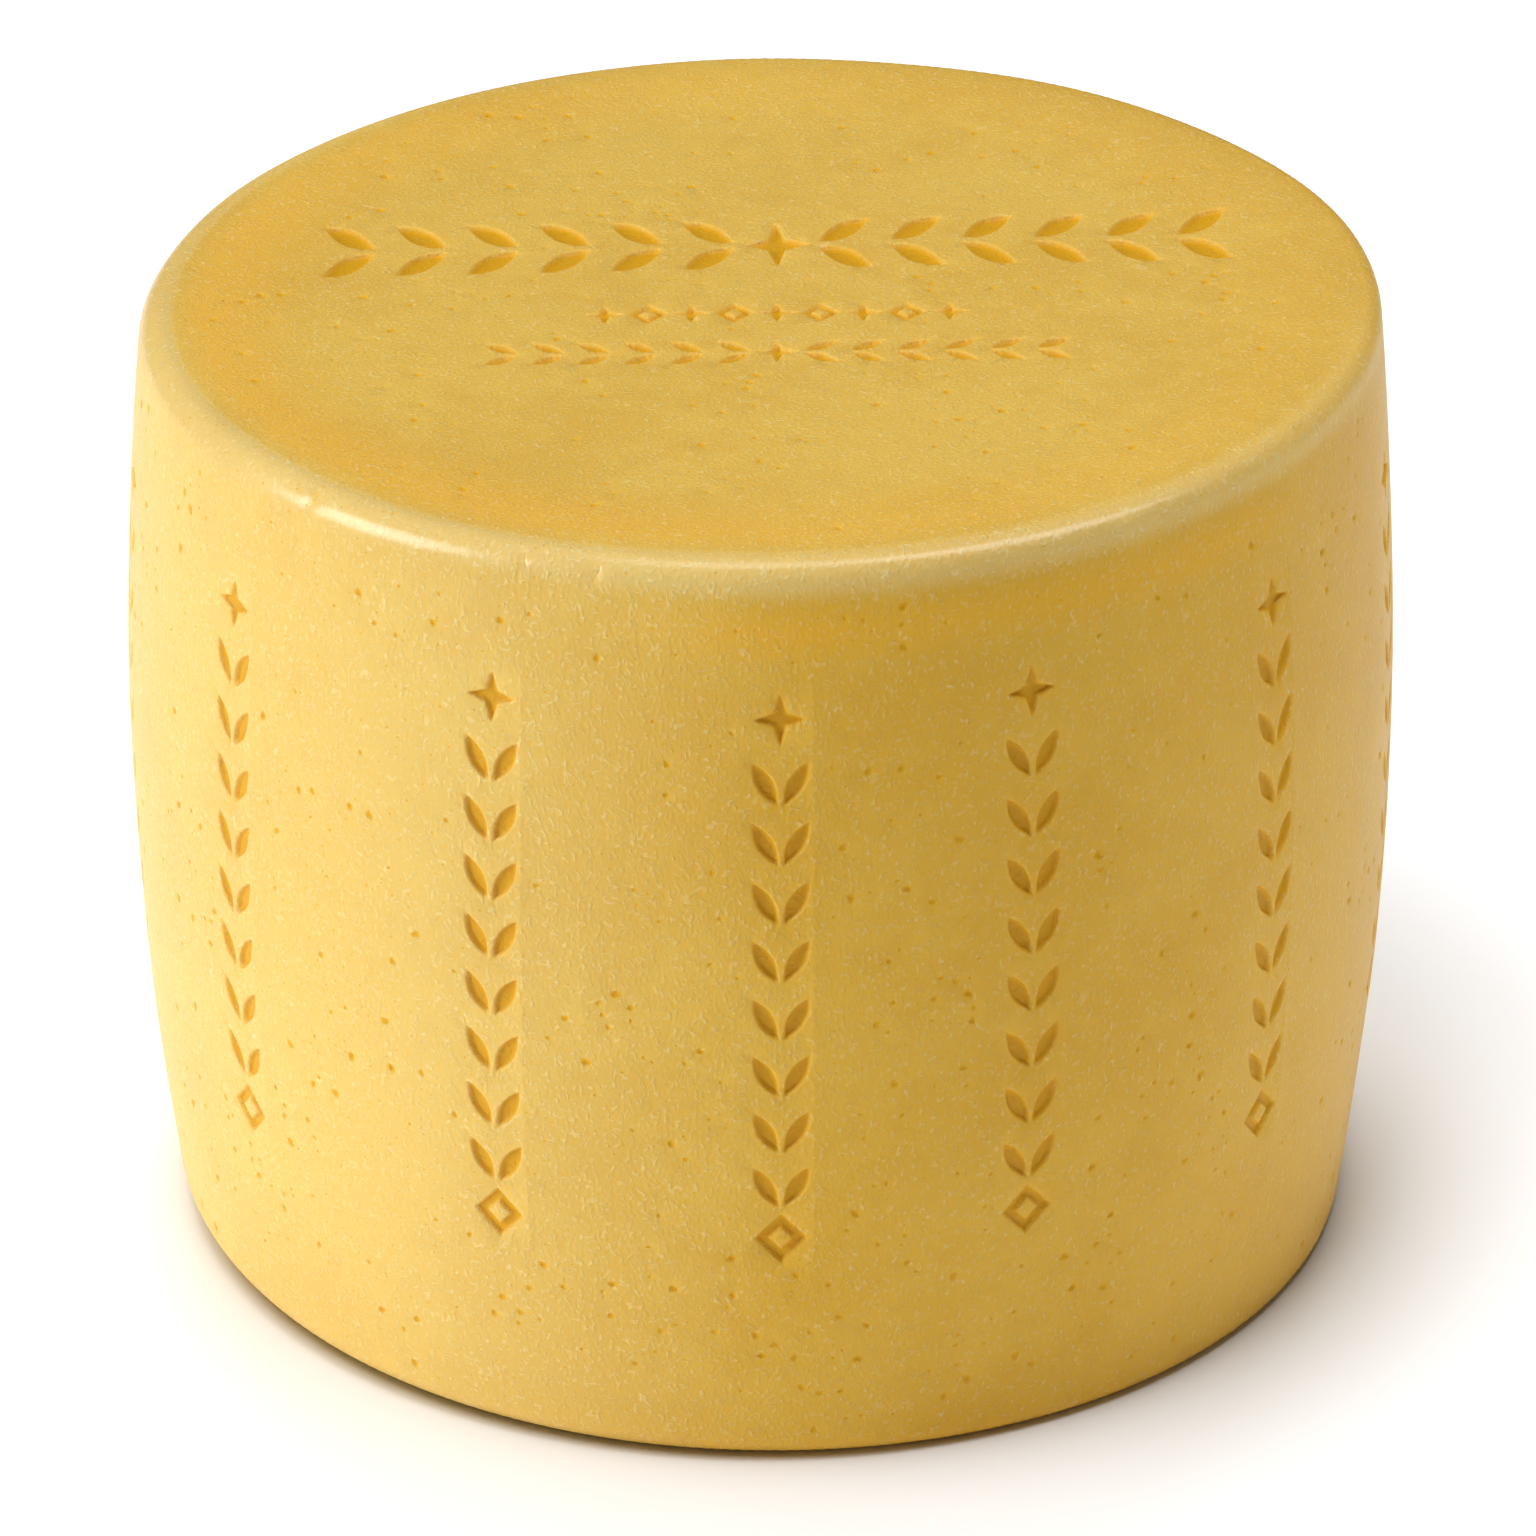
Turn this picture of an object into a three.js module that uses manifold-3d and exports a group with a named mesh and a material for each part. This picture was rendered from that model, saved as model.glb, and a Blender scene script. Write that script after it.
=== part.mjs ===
// A tall drum of hard, long-aged cheese with a smooth rind, standing on its flat base.
// Its sides bulge, its rims are rounded, and one side is a little thicker than the other.
// Rows of ornaments are pressed into the rind: columns of them round the side, rows on top.
// Millimetres, +Z up, the front towards -Y, the origin in the middle of the base.
import * as THREE from "three";
import { mergeVertices } from "three/addons/utils/BufferGeometryUtils.js";
import Module from "manifold-3d";

// Driving dimensions of the drum
const RADIUS = 175; // at the belly
const HEIGHT = 270.5; // at the axis, up to the rim of the top face
const BELLY_SHARE = 0.522; // height of the belly as a share of the height
const TOP_DRAW_IN = 6.9; // how much narrower the side is at the top edge than at the belly
const BASE_DRAW_IN = 11; // the same at the base edge
const TOP_ROUNDING = 6.4; // radius of the top rim, on average
const TOP_ROUNDING_SWING = 0.3; // the rim is rounder at -X and sharper at +X by this share
const BASE_ROUNDING = 9.3;
const BASE_ROUNDING_SWING = 0.7;
const THICKER_SIDE = 0.0116; // the top rises towards +X by this slope
const DISH_DEPTH = 1.6; // the top face sinks by this much inside its rim
const DISH_FROM = 0.97; // where the dish starts, as a share of the top face's radius
const DISH_TO = 0.72; // where it reaches its full depth

// How finely the drum is divided
const STEPS_ROUND = 60;
const STEPS_SIDE = 8;
const STEPS_RIM = 4;
const STEPS_DISH = 3;

// The columns of ornaments in the side, by their angles from the front, positive towards +X
const FRONT_COLUMNS_DEG = [-54, -24, 1.6, 24, 51.5];
const BACK_COLUMNS = 8; // spread evenly over the rest of the side
const MARKS_IN_COLUMN = 10;
const COLUMN_LOW = 66;
const COLUMN_HIGH = 237;
const MARK_WIDTH = 14.6; // across the column
const MARK_DEPTH = 1.3;
const MARK_FILL = 0.92; // the share of its pitch that a mark fills

// A leaf in a mark's square, whose half side is 1
const LEAF_LENGTH = 1.8;
const LEAF_HALF_WIDTH = 0.33;
const LEAF_LEAN_DEG = 31; // from the direction in which the pair grows
const LEAF_FOOT = 0.88; // from the square's middle back to the foot
const LEAF_GAP = 0.1; // from the row's middle line to the foot

// The rows of ornaments in the top face: turn is a row's tilt in plan, in radians
const TOP_MARK_DEPTH = 1.2;
const TOP_ROWS = [
  { marks: 13, leafy: true, length: 257, tall: 31, x: 4.5, y: 36, turn: 0.018 },
  { marks: 9, leafy: false, length: 105, tall: 12, x: 4.5, y: -9, turn: 0 },
  { marks: 13, leafy: true, length: 162, tall: 13, x: 4.5, y: -34, turn: 0 },
];

const STAMP_RISE = 3; // how far a stamp stands out of the rind when it is pressed in

const wasm = await Module();
wasm.setup();

// A value that is larger at -X and smaller at +X by a share of its mean.
function swing(mean, share, angle) {
  return mean * (1 - share * Math.cos(angle));
}

// Radius of the side at a height: widest at the belly, drawn in by a parabola above and below it.
function sideRadius(z) {
  const belly = BELLY_SHARE * HEIGHT;
  const above = Math.max(0, (z - belly) / (HEIGHT - belly));
  const below = Math.max(0, (belly - z) / belly);
  return RADIUS - TOP_DRAW_IN * above ** 2 - BASE_DRAW_IN * below ** 2;
}

// The height of a point, stretched in step with its place towards the thicker side.
function thicken(x, z) {
  return z * (1 + (THICKER_SIDE * x) / HEIGHT);
}

// Depth of the dish at a share of the top face's radius: an even S from the rim to the flat middle.
function dish(share) {
  return DISH_DEPTH * (1 - THREE.MathUtils.smoothstep(share, DISH_TO, DISH_FROM));
}

// Points [radius, height] at an angle, from the base out, up the side and over the rim to the dish.
function outlineAt(angle) {
  const low = swing(BASE_ROUNDING, BASE_ROUNDING_SWING, angle);
  const high = swing(TOP_ROUNDING, TOP_ROUNDING_SWING, angle);
  const lowCentre = sideRadius(low) - low;
  const highCentre = sideRadius(HEIGHT - high) - high;
  const points = [];
  for (let i = 0; i <= STEPS_RIM; i++) {
    const t = (Math.PI / 2) * (i / STEPS_RIM);
    points.push([lowCentre + low * Math.sin(t), low * (1 - Math.cos(t))]);
  }
  for (let i = 1; i < STEPS_SIDE; i++) {
    const z = low + (HEIGHT - high - low) * (i / STEPS_SIDE);
    points.push([sideRadius(z), z]);
  }
  for (let i = 0; i <= STEPS_RIM; i++) {
    const t = (Math.PI / 2) * (i / STEPS_RIM);
    points.push([highCentre + high * Math.cos(t), HEIGHT - high * (1 - Math.sin(t))]);
  }
  for (let i = 0; i <= STEPS_DISH; i++) {
    const share = THREE.MathUtils.lerp(DISH_FROM, DISH_TO, i / STEPS_DISH);
    points.push([highCentre * share, HEIGHT - dish(share)]);
  }
  return points;
}

// The drum without its ornaments: the outlines at all angles, closed by a point at each end.
function drum() {
  const positions = [0, 0, 0];
  const perOutline = outlineAt(0).length;
  for (let s = 0; s < STEPS_ROUND; s++) {
    const angle = (2 * Math.PI * s) / STEPS_ROUND;
    for (const [radius, z] of outlineAt(angle)) {
      const x = radius * Math.cos(angle);
      positions.push(x, radius * Math.sin(angle), thicken(x, z));
    }
  }
  positions.push(0, 0, HEIGHT - DISH_DEPTH);
  const top = 1 + STEPS_ROUND * perOutline;
  const at = (step, i) => 1 + (step % STEPS_ROUND) * perOutline + i;
  const index = [];
  for (let s = 0; s < STEPS_ROUND; s++) {
    index.push(0, at(s + 1, 0), at(s, 0));
    for (let i = 0; i + 1 < perOutline; i++) {
      index.push(at(s, i), at(s + 1, i), at(s + 1, i + 1));
      index.push(at(s, i), at(s + 1, i + 1), at(s, i + 1));
    }
    index.push(at(s, perOutline - 1), at(s + 1, perOutline - 1), top);
  }
  const geometry = new THREE.BufferGeometry();
  geometry.setAttribute("position", new THREE.Float32BufferAttribute(positions, 3));
  geometry.setIndex(index);
  return geometry;
}

// Ornaments, each a list of flat shapes in a square from -1 to 1: x across, y along

function polygon(points) {
  return new THREE.Shape(points.map(([x, y]) => new THREE.Vector2(x, y)));
}

// As many points as given, evenly spread round the middle, every second one at the inner reach
function pointed(count, reach, innerReach) {
  return Array.from({ length: count }, (_, i) => {
    const turn = (2 * Math.PI * i) / count;
    const r = i % 2 === 0 ? reach : innerReach;
    return [r * Math.cos(turn), r * Math.sin(turn)];
  });
}

// A star with four points
function star() {
  return [polygon(pointed(8, 1, 0.36))];
}

// A rhombus with a smaller one left standing in it
function lozenge() {
  const shape = polygon(pointed(4, 1, 1));
  shape.holes.push(polygon(pointed(4, 0.42, 0.42)));
  return [shape];
}

// Two pointed leaves that lean apart as they grow, each widest halfway
function leafPair(growthDegrees) {
  const growth = THREE.MathUtils.degToRad(growthDegrees);
  return [-1, 1].map((side) => {
    const lean = side * THREE.MathUtils.degToRad(LEAF_LEAN_DEG);
    const leaf = [
      [0, 0],
      [LEAF_LENGTH / 2, -LEAF_HALF_WIDTH],
      [LEAF_LENGTH, 0],
      [LEAF_LENGTH / 2, LEAF_HALF_WIDTH],
    ].map(([x, y]) => new THREE.Vector2(x, y).rotateAround(new THREE.Vector2(), lean));
    const foot = new THREE.Vector2(-LEAF_FOOT, side * LEAF_GAP);
    return new THREE.Shape(
      leaf.map((point) => point.add(foot).rotateAround(new THREE.Vector2(), growth)),
    );
  });
}

// A closed mesh as a solid that can be joined and cut
function solid(geometry) {
  geometry.deleteAttribute("normal");
  geometry.deleteAttribute("uv");
  const merged = mergeVertices(geometry, 1e-4);
  const mesh = new wasm.Mesh({
    numProp: 3,
    vertProperties: merged.attributes.position.array,
    triVerts: new Uint32Array(merged.index.array),
  });
  return new wasm.Manifold(mesh);
}

// The stamps of one ornament, laid on the rind at a point: across and along are points close by,
// and the stamp's end lies the mark's depth below the rind.
function stamps(shapes, { point, across, along }, width, tall, depth) {
  const u = across.clone().sub(point).normalize();
  const out = u.clone().cross(along.clone().sub(point)).normalize();
  const v = out.clone().cross(u);
  const place = new THREE.Matrix4()
    .makeBasis(u, v, out)
    .setPosition(point.clone().addScaledVector(out, -depth));
  const size = new THREE.Matrix4().makeScale(width / 2, tall / 2, 1);
  return shapes.map((shape) => {
    const stamp = new THREE.ExtrudeGeometry(shape, {
      depth: depth + STAMP_RISE,
      bevelEnabled: false,
    });
    return solid(stamp.applyMatrix4(size).applyMatrix4(place));
  });
}

// A point of the side at an angle and a height above the base
function onSide(angle, z) {
  const x = sideRadius(z) * Math.cos(angle);
  return new THREE.Vector3(x, sideRadius(z) * Math.sin(angle), thicken(x, z));
}

// A point of the top face over a place in plan
function onTop(x, y) {
  const reach = sideRadius(HEIGHT - TOP_ROUNDING) - TOP_ROUNDING;
  return new THREE.Vector3(x, y, thicken(x, HEIGHT - dish(Math.hypot(x, y) / reach)));
}

// Angles of the columns from the front: those of the front, then the rest, evenly spread
function columnAngles() {
  const first = FRONT_COLUMNS_DEG.at(0);
  const last = FRONT_COLUMNS_DEG.at(-1);
  const step = (360 - (last - first)) / (BACK_COLUMNS + 1);
  const back = Array.from({ length: BACK_COLUMNS }, (_, i) => last + step * (i + 1));
  return [...FRONT_COLUMNS_DEG, ...back].map((d) => THREE.MathUtils.degToRad(d - 90));
}

// A column of leaves that grow upwards, with a lozenge at its foot and a star at its head
function column(angle) {
  const pitch = (COLUMN_HIGH - COLUMN_LOW) / MARKS_IN_COLUMN;
  const all = [];
  for (let i = 0; i < MARKS_IN_COLUMN; i++) {
    const z = COLUMN_LOW + pitch * (i + 0.5);
    const spot = {
      point: onSide(angle, z),
      across: onSide(angle + 0.01, z),
      along: onSide(angle, z + 1),
    };
    const ends = { 0: lozenge(), [MARKS_IN_COLUMN - 1]: star() };
    const shapes = ends[i] ?? leafPair(90);
    all.push(...stamps(shapes, spot, MARK_WIDTH, pitch * MARK_FILL, MARK_DEPTH));
  }
  return all;
}

// A row across the top face: leaves that grow outwards from a star in the middle,
// or lozenges and stars in turn.
function topRow({ marks, leafy, length, tall, x, y, turn }) {
  const pitch = length / marks;
  const middle = (marks - 1) / 2;
  const all = [];
  for (let i = 0; i < marks; i++) {
    const along = pitch * (i - middle);
    const px = x + along * Math.cos(turn);
    const py = y + along * Math.sin(turn);
    const spot = {
      point: onTop(px, py),
      across: onTop(px + Math.cos(turn), py + Math.sin(turn)),
      along: onTop(px - Math.sin(turn), py + Math.cos(turn)),
    };
    const plain = (i - middle) % 2 === 0 ? star() : lozenge();
    const leaves = leafPair(i < middle ? 180 : 0);
    const shapes = leafy && i !== middle ? leaves : plain;
    all.push(...stamps(shapes, spot, pitch * MARK_FILL, tall, TOP_MARK_DEPTH));
  }
  return all;
}

// The drum with every mark pressed in
function wheelGeometry() {
  const marks = [...columnAngles().flatMap(column), ...TOP_ROWS.flatMap(topRow)];
  const pressed = solid(drum()).subtract(wasm.Manifold.union(marks)).getMesh();
  const geometry = new THREE.BufferGeometry();
  const { vertProperties, triVerts, numProp } = pressed;
  geometry.setAttribute("position", new THREE.BufferAttribute(vertProperties, numProp));
  geometry.setIndex(new THREE.BufferAttribute(triVerts, 1));
  geometry.computeVertexNormals();
  return geometry;
}

const rind = new THREE.MeshStandardMaterial({ color: 0xdfb55c, roughness: 0.45, metalness: 0 });
const wheel = new THREE.Mesh(wheelGeometry(), rind);
wheel.name = "cheese_wheel";

const object = new THREE.Group();
object.add(wheel);

export default object;
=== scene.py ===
"""A whole wheel of hard, long-aged cheese on a pale floor: its rind's fine surface, its finish and
the light on it."""

import math

import bpy
import numpy as np
from bpy.props import FloatProperty, FloatVectorProperty, IntProperty, PointerProperty
from mathutils import Matrix, Vector
from mathutils.geometry import delaunay_2d_cdt


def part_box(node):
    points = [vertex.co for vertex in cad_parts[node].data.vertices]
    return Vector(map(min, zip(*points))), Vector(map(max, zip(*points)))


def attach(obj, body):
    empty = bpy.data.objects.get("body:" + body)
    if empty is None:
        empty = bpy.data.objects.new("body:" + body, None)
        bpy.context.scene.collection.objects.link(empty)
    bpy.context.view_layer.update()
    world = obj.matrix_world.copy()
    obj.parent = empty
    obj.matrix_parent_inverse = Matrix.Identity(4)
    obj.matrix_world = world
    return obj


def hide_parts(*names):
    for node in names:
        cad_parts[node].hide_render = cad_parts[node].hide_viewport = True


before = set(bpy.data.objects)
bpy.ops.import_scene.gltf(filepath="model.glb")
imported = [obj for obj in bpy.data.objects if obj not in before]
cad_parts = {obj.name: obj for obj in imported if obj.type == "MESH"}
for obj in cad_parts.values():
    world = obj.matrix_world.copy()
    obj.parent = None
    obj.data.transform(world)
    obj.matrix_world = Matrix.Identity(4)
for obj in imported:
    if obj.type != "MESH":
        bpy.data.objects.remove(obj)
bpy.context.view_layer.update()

bl_info = {
    "name": "Cheese Wheel",
    "version": (1, 0, 0),
    "blender": (4, 5, 0),
    "location": "View3D > Sidebar > Cheese",
    "description": "Makes a wheel of hard cheese with a pressed rind, and a stage to show it on",
    "category": "Object",
}

NODE = "cheese_wheel"
LOW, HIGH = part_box(NODE)
MM = 0.001
TAU = 2 * math.pi
FRONT = math.radians(-90)


# Settings that a user would change

def length(name, description, metres):
    return FloatProperty(name=name, description=description, default=metres, unit="LENGTH", precision=5)


def share(name, description, default):
    return FloatProperty(name=name, description=description, default=default, subtype="FACTOR")


def angle(name, description, degrees):
    return FloatProperty(name=name, description=description, default=math.radians(degrees), subtype="ANGLE")


def power(name, description, watts):
    return FloatProperty(name=name, description=description, default=watts, unit="POWER")


def number(name, description, default, least):
    return IntProperty(name=name, description=description, default=default, min=least)


def colour(name, description, red, green, blue):
    values = (red, green, blue, 1)
    return FloatVectorProperty(
        name=name, description=description, default=values, size=4, subtype="COLOR", min=0, max=1
    )


class WheelShape(bpy.types.PropertyGroup):
    radius: length("Radius", "Radius at the belly", (HIGH.x - LOW.x) / 2)
    height: length("Height", "Height of the top face's rim at the axis", 270.5 * MM)
    belly: share("Belly", "Height of the belly as a share of the height", 0.522)
    top_draw_in: length("Top draw-in", "How much narrower the side is at its top", 6.9 * MM)
    base_draw_in: length("Base draw-in", "How much narrower the side is at its base", 11 * MM)
    top_rounding: length("Top rounding", "Mean radius of the top rim", 6.4 * MM)
    top_swing: share("Top swing", "How much rounder the top rim is at -X and sharper at +X", 0.3)
    base_rounding: length("Base rounding", "Mean radius of the base rim", 9.3 * MM)
    base_swing: share("Base swing", "How much rounder the base rim is at -X and sharper at +X", 0.7)
    thicker_side: share("Thicker side", "Slope of the top towards +X", 0.0116)
    dish_depth: length("Dish depth", "How far the top face sinks inside its rim", 1.6 * MM)
    dish_from: share("Dish from", "Where the dish starts, as a share of the top face's radius", 0.97)
    dish_to: share("Dish to", "Where the dish reaches its full depth", 0.72)
    lumps: length("Lumps", "How far the rind swells and sinks by hand and age", 0.35 * MM)


class MarkShape(bpy.types.PropertyGroup):
    depth: length("Depth", "Depth of the marks in the side", 1.3 * MM)
    top_depth: length("Top depth", "Depth of the marks in the top face", 1.2 * MM)
    wall: length("Wall", "Width of a mark's sloping wall", 0.65 * MM)
    per_column: number("Marks in a column", "Marks in each column", 10, 3)
    width: length("Width", "Width of a column", 14.6 * MM)
    column_low: length("Column foot", "Height of a column's foot", 66 * MM)
    column_high: length("Column head", "Height of a column's head", 237 * MM)
    fill: share("Fill", "The share of its pitch that a mark fills", 0.92)
    back_columns: number("Back columns", "Columns past those of the front", 8, 0)


class RindFinish(bpy.types.PropertyGroup):
    pale: colour("Pale", "Palest colour of the rind", 0.78, 0.472, 0.046)
    deep: colour("Deep", "Deepest colour of the rind", 0.72, 0.402, 0.022)
    # Cream is also painted sheen and highlight on the lit left, the top and the top rim
    cream: colour("Cream", "Colour of dry zones, threads and grains", 0.92, 0.74, 0.33)
    # The colour of painted shade under the top rim, along the base and on the right, and of painted glow
    # inside the top rim; dark grains take it too
    warm: colour("Warm", "Colour of the oily zones by the rims", 0.88, 0.45, 0.010)
    # The colour of the shade painted in the marks
    pressed: colour("Pressed", "Colour of the pressed marks", 0.70, 0.355, 0.005)
    # The colour of the shade painted in pits, cracks and pinholes
    hollow: colour("Hollow", "Colour inside pits", 0.76, 0.385, 0.004)
    glow: share("Glow", "How much light goes through the rind's wax and paste", 0.45)
    glow_reach: length("Glow reach", "How far the light travels in the paste", 4 * MM)


class StageSettings(bpy.types.PropertyGroup):
    distance: length("Distance", "From the wheel's middle to the camera", 2.415)
    elevation: angle("Elevation", "Height of the camera above the horizon", 27.38)
    yaw: angle("Yaw", "Turn of the camera to the left", -0.042)
    pitch: angle("Pitch", "Tilt of the camera upwards", -0.217)
    roll: angle("Roll", "Roll of the camera", 0.168)
    lens: FloatProperty(
        name="Lens", description="Focal length on a 36 mm sensor", default=202.9, unit="CAMERA"
    )
    key: power("Key", "Power of the light on the left", 55)
    high: power("High", "Power of the light above the wheel", 18)
    fill: power("Fill", "Power of the light high on the right", 32)
    wash: power("Wash", "Power of the floor's light from above", 44)
    left_wash: power("Left wash", "Power of the floor's light from the left", 47)
    back_wash: power("Back wash", "Power of the floor's light from behind", 33)
    sky: FloatProperty(name="Surround", description="Strength of the white surround", default=0.07, min=0)


# The drum as a surface of an angle and a height

def smooth(x):
    """An even S from 0 to 1: 3x^2 - 2x^3, flat outside."""
    x = np.clip(x, 0, 1)
    return x * x * (3 - 2 * x)


class Drum:
    """The rind's surface. round_at gives a point at an angle and a run v from the base's edge, 0,
    to the top face's edge, the height; between the rims v is the height itself."""

    RIM = 20 * MM

    def __init__(self, shape):
        self.s = shape

    def side_radius(self, z):
        """Radius at a height: the belly's, less a parabola above it and another below it."""
        s = self.s
        belly = s.belly * s.height
        above = np.maximum(0, (z - belly) / (s.height - belly))
        below = np.maximum(0, (belly - z) / belly)
        return s.radius - s.top_draw_in * above**2 - s.base_draw_in * below**2

    def high_rounding(self, theta):
        return self.s.top_rounding * (1 - self.s.top_swing * np.cos(theta))

    def top_reach(self, theta):
        """Radius at which the top rim's quarter circle ends on the top face."""
        high = self.high_rounding(theta)
        return self.side_radius(self.s.height - high) - high

    def profile(self, theta, v):
        """Radius and height at a run v: a quarter circle and a straight rise share the first RIM of v
        in step with their true lengths, and the last RIM holds the same turned over."""
        s = self.s
        low = s.base_rounding * (1 - s.base_swing * np.cos(theta))
        high = self.high_rounding(theta)
        quarter = math.pi / 2
        run = v / self.RIM * (quarter * low + self.RIM - low)
        t = np.clip(run / low, 0, quarter)
        z_low = np.where(run < quarter * low, low * (1 - np.cos(t)), run - quarter * low + low)
        r_low = self.side_radius(low) - low + low * np.sin(t)
        start = s.height - self.RIM
        run = (v - start) / self.RIM * (quarter * high + self.RIM - high) - (self.RIM - high)
        t = np.clip(run / high, 0, quarter)
        z_high = np.where(run > 0, s.height - high + high * np.sin(t), s.height - high + run)
        r_high = self.side_radius(s.height - high) - high + high * np.cos(t)
        z = np.where(v < self.RIM, z_low, np.where(v > start, z_high, v))
        r = np.where((v < self.RIM) & (z < low), r_low, self.side_radius(z))
        return np.where((v > start) & (z > s.height - high), r_high, r), z

    def thicken(self, x, z):
        """Height stretched in step with the place towards the thicker side."""
        return z * (1 + self.s.thicker_side * x / self.s.height)

    def round_at(self, theta, v):
        r, z = self.profile(theta, v)
        x = r * np.cos(theta)
        return np.stack([x, r * np.sin(theta), self.thicken(x, z)], -1)

    def round_normal(self, theta, v):
        """The cross product of the steps along the angle and along v."""
        step = 1e-4
        inside = np.clip(v, step, self.s.height - step)
        across = self.round_at(theta + step, inside) - self.round_at(theta - step, inside)
        along = self.round_at(theta, inside + step) - self.round_at(theta, inside - step)
        n = np.cross(across, along)
        return n / np.linalg.norm(n, axis=-1, keepdims=True)

    def top_at(self, x, y):
        """The top face: flat at the rim, then sunk by an even S to the dish's floor."""
        s = self.s
        part = np.hypot(x, y) / self.top_reach(np.arctan2(y, x))
        sunk = s.dish_depth * (1 - smooth((part - s.dish_to) / (s.dish_from - s.dish_to)))
        return np.stack([x, y, self.thicken(x, s.height - sunk)], -1)


# Ornaments in a square from -1 to 1, as closed outlines that run anticlockwise

def pointed(count, reach, inner):
    """Points evenly spread round the middle, every second one at the inner reach."""
    turn = TAU * np.arange(count) / count
    r = np.where(np.arange(count) % 2 == 0, reach, inner)
    return np.stack([r * np.cos(turn), r * np.sin(turn)], -1)


def turned(points, radians):
    c, s = math.cos(radians), math.sin(radians)
    return points @ np.array([[c, s], [-s, c]])


LEAF_LENGTH = 1.8
LEAF_HALF_WIDTH = 0.33
LEAF_LEAN = math.radians(31)
LEAF_FOOT = 0.88
LEAF_GAP = 0.1


def leaf_pair(growth):
    """Two pointed leaves that lean apart as they grow. A leaf's half width along its length is a
    sine's half wave to the power 0.85."""
    t = np.linspace(0, 1, 8)
    half = LEAF_HALF_WIDTH * np.sin(math.pi * t) ** 0.85
    under = np.stack([LEAF_LENGTH * t, -half], -1)
    over = np.stack([LEAF_LENGTH * t, half], -1)[-2:0:-1]
    leaf = np.concatenate([under, over])
    pair = [turned(leaf, side * LEAF_LEAN) + [-LEAF_FOOT, side * LEAF_GAP] for side in (-1, 1)]
    return [turned(points, math.radians(growth)) for points in pair]


STAR = ([pointed(8, 1, 0.36)], [])
LOZENGE = ([pointed(4, 1, 1)], [pointed(4, 0.42, 0.42)])


class Mark:
    """An ornament laid in a plane at a place: its solid outlines, its holes, its size and its turn."""

    def __init__(self, ornament, centre, width, tall, turn, depth):
        filled, holes = ornament
        size = np.array([width / 2, tall / 2])
        self.outlines = [turned(points * size, turn) + centre for points in filled]
        self.holes = [turned(points * size, turn) + centre for points in holes]
        self.depth = depth

    def reach(self, points):
        """Signed distance to the ornament: below 0 inside it, and above 0 in its holes."""
        inside = np.min([signed_distance(points, o) for o in self.outlines], axis=0)
        for hole in self.holes:
            inside = np.maximum(inside, -signed_distance(points, hole))
        return inside

    def box(self, margin):
        """Lowest and highest corner in the plane, with a margin."""
        both = np.concatenate(self.outlines)
        return both.min(0) - margin, both.max(0) + margin


def signed_distance(points, outline):
    """Distance to a closed outline, negative inside: the nearest of its edges, and the crossings of
    a ray to tell the inside."""
    a = outline[None]
    edge = np.roll(outline, -1, axis=0)[None] - a
    to = points[:, None] - a
    t = np.clip((to * edge).sum(-1) / (edge * edge).sum(-1), 0, 1)
    away = np.linalg.norm(to - t[..., None] * edge, axis=-1).min(-1)
    b = a + edge
    y = points[:, None, 1]
    crosses = (a[..., 1] <= y) != (b[..., 1] <= y)
    slope = np.where(edge[..., 1] == 0, 1, edge[..., 1])
    x_at = a[..., 0] + (y - a[..., 1]) / slope * edge[..., 0]
    inside = (crosses & (points[:, None, 0] < x_at)).sum(-1) % 2 == 1
    return np.where(inside, -away, away)


def inset(outline, by):
    """The outline moved inwards by a distance, or outwards by a negative one, with mitred corners."""
    edge = np.roll(outline, -1, axis=0) - outline
    normal = np.stack([-edge[:, 1], edge[:, 0]], -1) / np.linalg.norm(edge, axis=1)[:, None]
    before = np.roll(normal, 1, axis=0)
    return outline + by * (before + normal) / (1 + (before * normal).sum(1))[:, None]


def walk(outline, step):
    """Points along a closed outline about a step apart, corners included."""
    ends = np.roll(outline, -1, axis=0)
    edges = []
    for a, b in zip(outline, ends):
        parts = max(1, round(float(np.linalg.norm(b - a)) / step))
        edges.append(a + (b - a) * (np.arange(parts) / parts)[:, None])
    return np.concatenate(edges)


MARK_STEP = 1.05 * MM
MARK_LIP = (-0.45 * MM, -0.1 * MM)
MARK_FLOOR = 0.8 * MM
MITRE_SLIP = 0.3 * MM


def mark_points(mark, wall):
    """Points along a mark's lip, wall, foot and floor, less those that a sharp corner's mitre throws
    out of their line."""
    rings = []
    for by in (*MARK_LIP, wall / 2, wall, wall + MARK_FLOOR):
        for outline in mark.outlines:
            rings.append((walk(inset(outline, by), MARK_STEP), by))
        for hole in mark.holes:
            rings.append((walk(inset(hole, -by), MARK_STEP), by))
    kept = [points[np.abs(mark.reach(points) + by) < MITRE_SLIP] for points, by in rings]
    return np.concatenate(kept)


FRONT_COLUMNS = (-54, -24, 1.6, 24, 51.5)


def column_angles(shape):
    """Angles of the columns from the front: those of the front, then more at even steps round the
    back, none past half a turn."""
    front = np.radians(FRONT_COLUMNS)
    step = (TAU - (front[-1] - front[0])) / (shape.back_columns + 1)
    back = front[-1] + step * np.arange(1, shape.back_columns + 1)
    return np.concatenate([front, np.where(back > math.pi, back - TAU, back)])


def row_marks(shape, drum):
    """Marks in the plane of the side, where x is the angle from the front times the radius."""
    pitch = (shape.column_high - shape.column_low) / shape.per_column
    marks = []
    for phi in column_angles(shape):
        for i in range(shape.per_column):
            ends = {0: LOZENGE, shape.per_column - 1: STAR}
            ornament = ends.get(i, (leaf_pair(90), []))
            centre = [phi * drum.s.radius, shape.column_low + pitch * (i + 0.5)]
            marks.append(Mark(ornament, centre, shape.width, pitch * shape.fill, 0, shape.depth))
    return marks


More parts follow.
